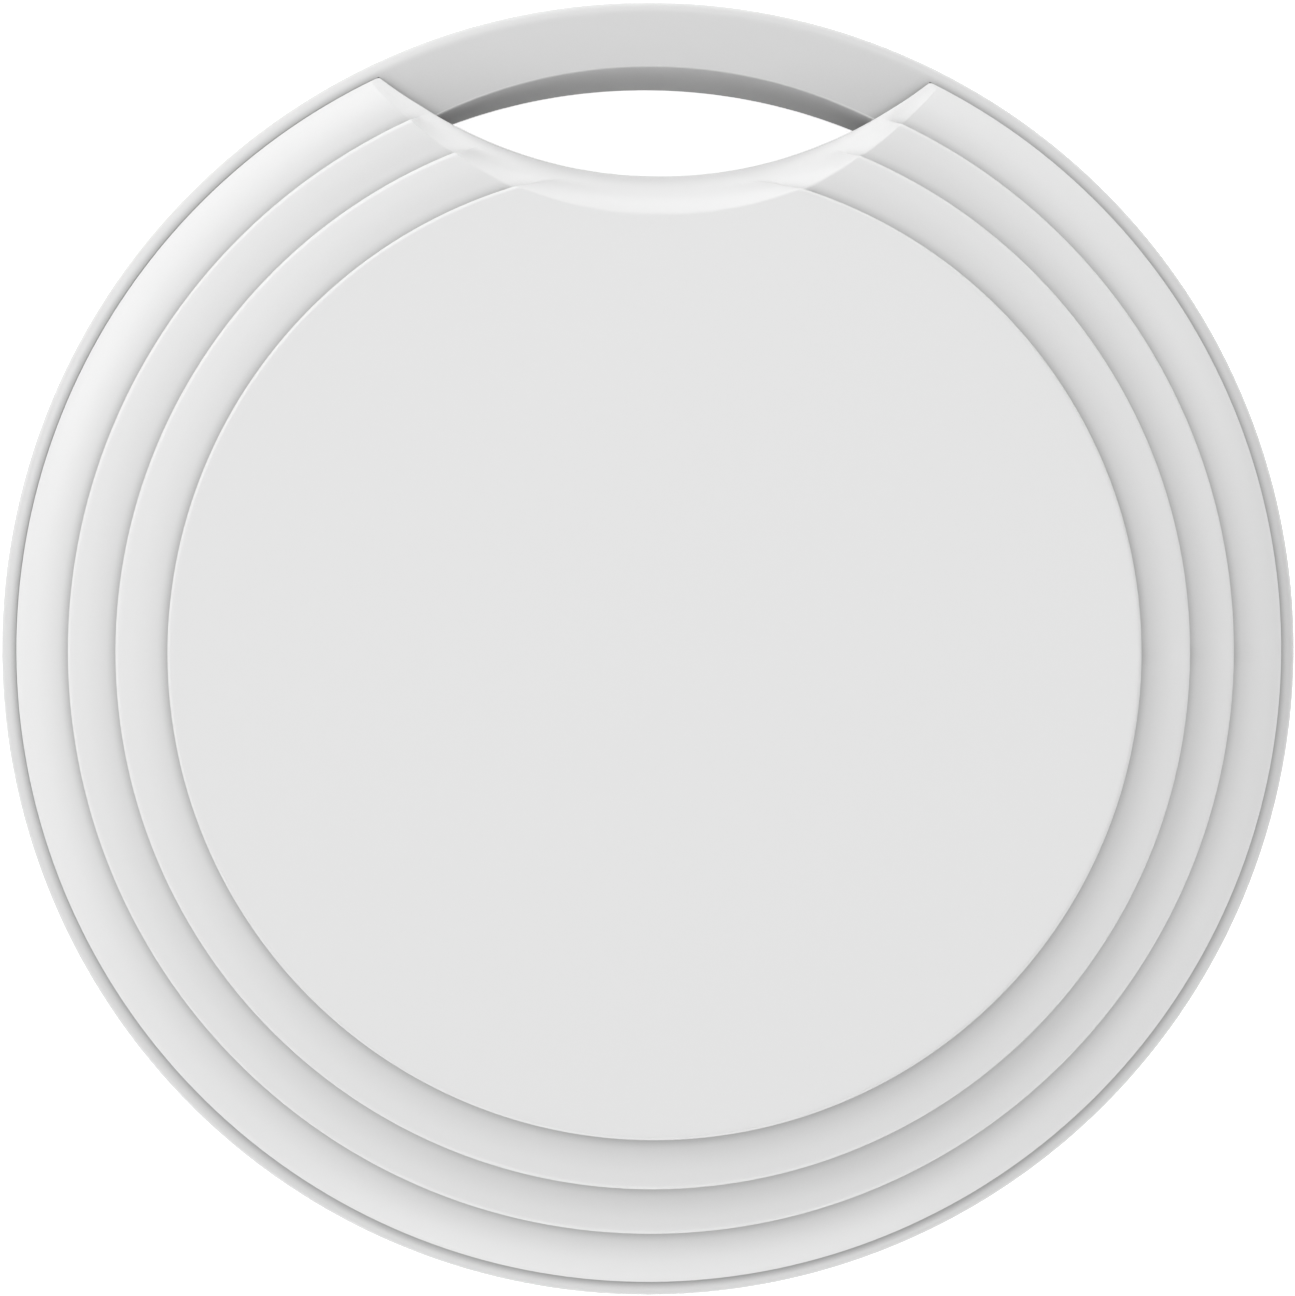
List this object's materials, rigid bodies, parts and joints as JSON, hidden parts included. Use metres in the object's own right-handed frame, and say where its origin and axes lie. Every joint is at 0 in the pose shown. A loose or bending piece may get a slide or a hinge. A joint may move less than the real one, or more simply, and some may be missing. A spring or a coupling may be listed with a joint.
{
  "type": "wireless tracker tag",
  "caption": "Round white tracker tag for keys, with a stepped domed face, a keyring slot at its edge, and a coin cell, board, sounder and push switch inside.",
  "frame": {"origin": "centre of the round body, on its back", "axes": "+Z out of the face, +Y towards the keyring slot, +X right when looking at the face"},
  "size_m": [0.04, 0.04, 0.0084],
  "materials": {
    "rear_shell": "satin white, fine texture",
    "front_shell": "satin white, fine texture",
    "silicone": "soft grey silicone",
    "foam": "matt black foam",
    "tape": "pale double-sided tape",
    "brass": "rolled, plain",
    "piezo_ceramic": "fired, silvered",
    "board": "glass fibre with green resist",
    "cell_steel": "nickel plated",
    "screw_steel": "plain",
    "spring_steel": "tin plated strip",
    "black_plastic": "matt",
    "chip_epoxy": "matt moulded",
    "crystal_can": "plain",
    "pale_ceramic": "fired",
    "brown_ceramic": "fired"
  },
  "bodies": {
    "rear": {"rear_cover": "rear_shell", "seal_ring": "silicone", "piezo_tape": "tape", "piezo_plate": "brass", "piezo_ceramic": "piezo_ceramic", "piezo_contact_center": "spring_steel", "piezo_contact_edge": "spring_steel", "main_board": "board", "board_screw_1": "screw_steel", "board_screw_2": "screw_steel", "board_screw_3": "screw_steel", "battery_can": "cell_steel", "battery_cap": "cell_steel", "battery_gasket": "black_plastic", "battery_cradle": "black_plastic", "positive_contact_left": "spring_steel", "positive_contact_right": "spring_steel", "negative_contact": "spring_steel", "switch_base": "black_plastic", "switch_dome": "spring_steel", "switch_cover": "crystal_can", "radio_chip": "chip_epoxy", "chip_antenna": "pale_ceramic", "main_crystal": "crystal_can", "clock_crystal": "crystal_can", "boost_inductor": "chip_epoxy", "driver_chip": "chip_epoxy", "motion_sensor": "chip_epoxy", "capacitor_1": "brown_ceramic", "capacitor_2": "brown_ceramic", "capacitor_3": "brown_ceramic", "capacitor_4": "brown_ceramic", "resistor_1": "chip_epoxy", "resistor_2": "chip_epoxy", "resistor_3": "chip_epoxy", "resistor_4": "chip_epoxy"},
    "front": {"front_cover": "front_shell", "foam_pad": "foam"},
    "plunger": {"switch_plunger": "black_plastic"}
  },
  "joints": [
    {"name": "cover_lift", "type": "slide", "parent": "rear", "child": "front", "axis": [0, 0, 1], "range_m": [0, 0.03]},
    {"name": "switch_press", "type": "slide", "parent": "rear", "child": "plunger", "axis": [0, 0, -1], "range_m": [0, 0.00025], "stiffness_N_per_m": 600, "springref_m": -0.0005, "deforming": ["switch_dome"]}
  ]
}
